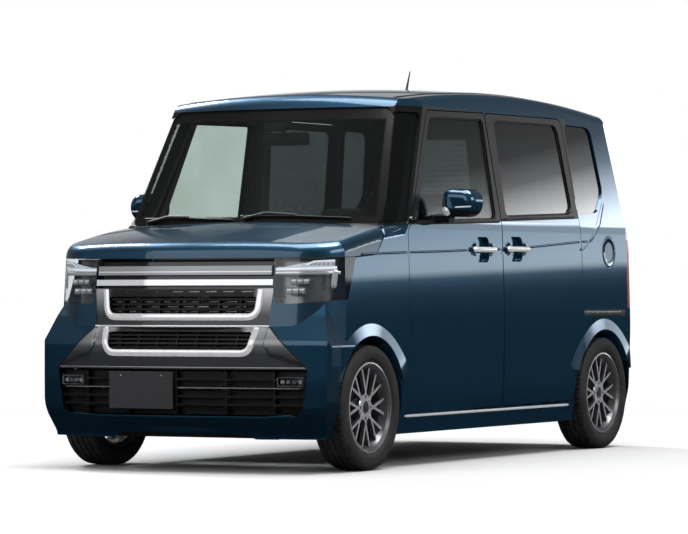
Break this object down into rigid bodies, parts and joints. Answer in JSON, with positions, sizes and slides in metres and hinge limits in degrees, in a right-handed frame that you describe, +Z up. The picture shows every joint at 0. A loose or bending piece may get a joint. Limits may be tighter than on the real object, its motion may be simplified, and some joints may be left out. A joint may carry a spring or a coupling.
{
  "type": "kei car",
  "caption": "Small tall five-door kei car with hinged front doors, sliding rear doors, lift-up tailgate, opening bonnet and steered alloy wheels.",
  "frame": {"origin": "centre of the footprint, on the floor under the tyres", "axes": "+Z up, the car faces -Y, its left side is +X"},
  "size_m": [1.8484, 3.394, 1.8905],
  "materials": {
    "paint": "gloss metallic",
    "black_trim": "satin",
    "glass": "clear",
    "lamp": "clear",
    "tail_lamp": "gloss",
    "satin": "satin",
    "chrome": "polished",
    "plate": "matte",
    "rubber": "matte",
    "alloy": "satin",
    "steel": "satin",
    "iron": "rough",
    "plastic": "grained",
    "cloth": "woven"
  },
  "bodies": {
    "body": {"floor_pan": "steel", "front_wheel_housings": "black_trim", "rear_wheel_housings": "black_trim", "grille_slats": "black_trim", "grille_bars": "chrome", "grille_panel": "black_trim", "fog_lamps": "lamp", "body_side_left": "paint", "body_side_right": "paint", "roof_panel": "paint", "front_fender_left": "paint", "front_fender_right": "paint", "front_bumper": "paint", "grille": "satin", "lower_grille": "black_trim", "number_plate": "plate", "headlamps": "lamp", "cowl": "black_trim", "windscreen": "glass", "quarter_glass": "glass", "corner_glass": "glass", "rear_bumper": "paint", "tail_lamps": "tail_lamp", "sliding_door_left": "paint", "sliding_door_right": "paint", "sliding_glass_left": "glass", "sliding_glass_right": "glass", "dashboard": "plastic", "front_seat_left": "cloth", "front_seat_right": "cloth", "rear_seat": "cloth", "engine": "iron", "fuel_tank": "plastic", "exhaust": "steel", "front_subframe": "steel", "rear_axle": "steel", "antenna": "black_trim"},
    "front_door_left": {"front_door_left": "paint", "door_glass_left": "glass", "mirror_left": "paint"},
    "front_door_right": {"front_door_right": "paint", "door_glass_right": "glass", "mirror_right": "paint"},
    "tailgate": {"tailgate": "paint", "tailgate_glass": "glass", "spoiler": "paint"},
    "bonnet": {"bonnet": "paint"},
    "fuel_lid": {"fuel_lid": "paint"},
    "knuckle_left": {"knuckle_left": "iron"},
    "knuckle_right": {"knuckle_right": "iron"},
    "steering_wheel": {"steering_wheel": "plastic"},
    "wheel_front_left": {"tyre_front_left": "rubber", "rim_front_left": "alloy"},
    "wheel_front_right": {"tyre_front_right": "rubber", "rim_front_right": "alloy"},
    "wheel_rear_left": {"tyre_rear_left": "rubber", "rim_rear_left": "alloy"},
    "wheel_rear_right": {"tyre_rear_right": "rubber", "rim_rear_right": "alloy"}
  },
  "joints": [
    {"name": "front_door_left_hinge", "type": "hinge", "parent": "body", "child": "front_door_left", "pos_m": [0.7355, -0.829, 0.7], "axis": [0, 0, -1], "range_deg": [0, 68]},
    {"name": "front_door_right_hinge", "type": "hinge", "parent": "body", "child": "front_door_right", "pos_m": [-0.7355, -0.829, 0.7], "axis": [0, 0, 1], "range_deg": [0, 68]},
    {"name": "tailgate_hinge", "type": "hinge", "parent": "body", "child": "tailgate", "pos_m": [0, 1.518, 1.726], "axis": [1, 0, 0], "range_deg": [0, 85]},
    {"name": "bonnet_hinge", "type": "hinge", "parent": "body", "child": "bonnet", "pos_m": [0, -1.04, 1.1], "axis": [-1, 0, 0], "range_deg": [0, 60]},
    {"name": "fuel_lid_hinge", "type": "hinge", "parent": "body", "child": "fuel_lid", "pos_m": [0.7205, 1.31, 0.991], "axis": [0, 0, -1], "range_deg": [0, 110]},
    {"name": "steering_wheel_turn", "type": "hinge", "parent": "body", "child": "steering_wheel", "pos_m": [-0.33, -0.478, 0.955], "axis": [0, 0.88, 0.475], "range_deg": [-540, 540]},
    {"name": "steer_left", "type": "hinge", "parent": "body", "child": "knuckle_left", "pos_m": [0.5455, -1.21, 0.281], "axis": [0, 0, 1], "range_deg": [-33, 33]},
    {"name": "steer_right", "type": "hinge", "parent": "body", "child": "knuckle_right", "pos_m": [-0.5455, -1.21, 0.281], "axis": [0, 0, 1], "range_deg": [-33, 33]},
    {"name": "wheel_front_left_spin", "type": "hinge", "parent": "knuckle_left", "child": "wheel_front_left", "pos_m": [0.6525, -1.21, 0.281], "axis": [1, 0, 0], "continuous": true},
    {"name": "wheel_front_right_spin", "type": "hinge", "parent": "knuckle_right", "child": "wheel_front_right", "pos_m": [-0.6525, -1.21, 0.281], "axis": [1, 0, 0], "continuous": true},
    {"name": "wheel_rear_left_spin", "type": "hinge", "parent": "body", "child": "wheel_rear_left", "pos_m": [0.6525, 1.31, 0.281], "axis": [1, 0, 0], "continuous": true},
    {"name": "wheel_rear_right_spin", "type": "hinge", "parent": "body", "child": "wheel_rear_right", "pos_m": [-0.6525, 1.31, 0.281], "axis": [1, 0, 0], "continuous": true}
  ],
  "couplings": [
    {"joint": "steer_left", "follows": "steering_wheel_turn", "ratio": 0.061111},
    {"joint": "steer_right", "follows": "steering_wheel_turn", "ratio": 0.061111}
  ]
}
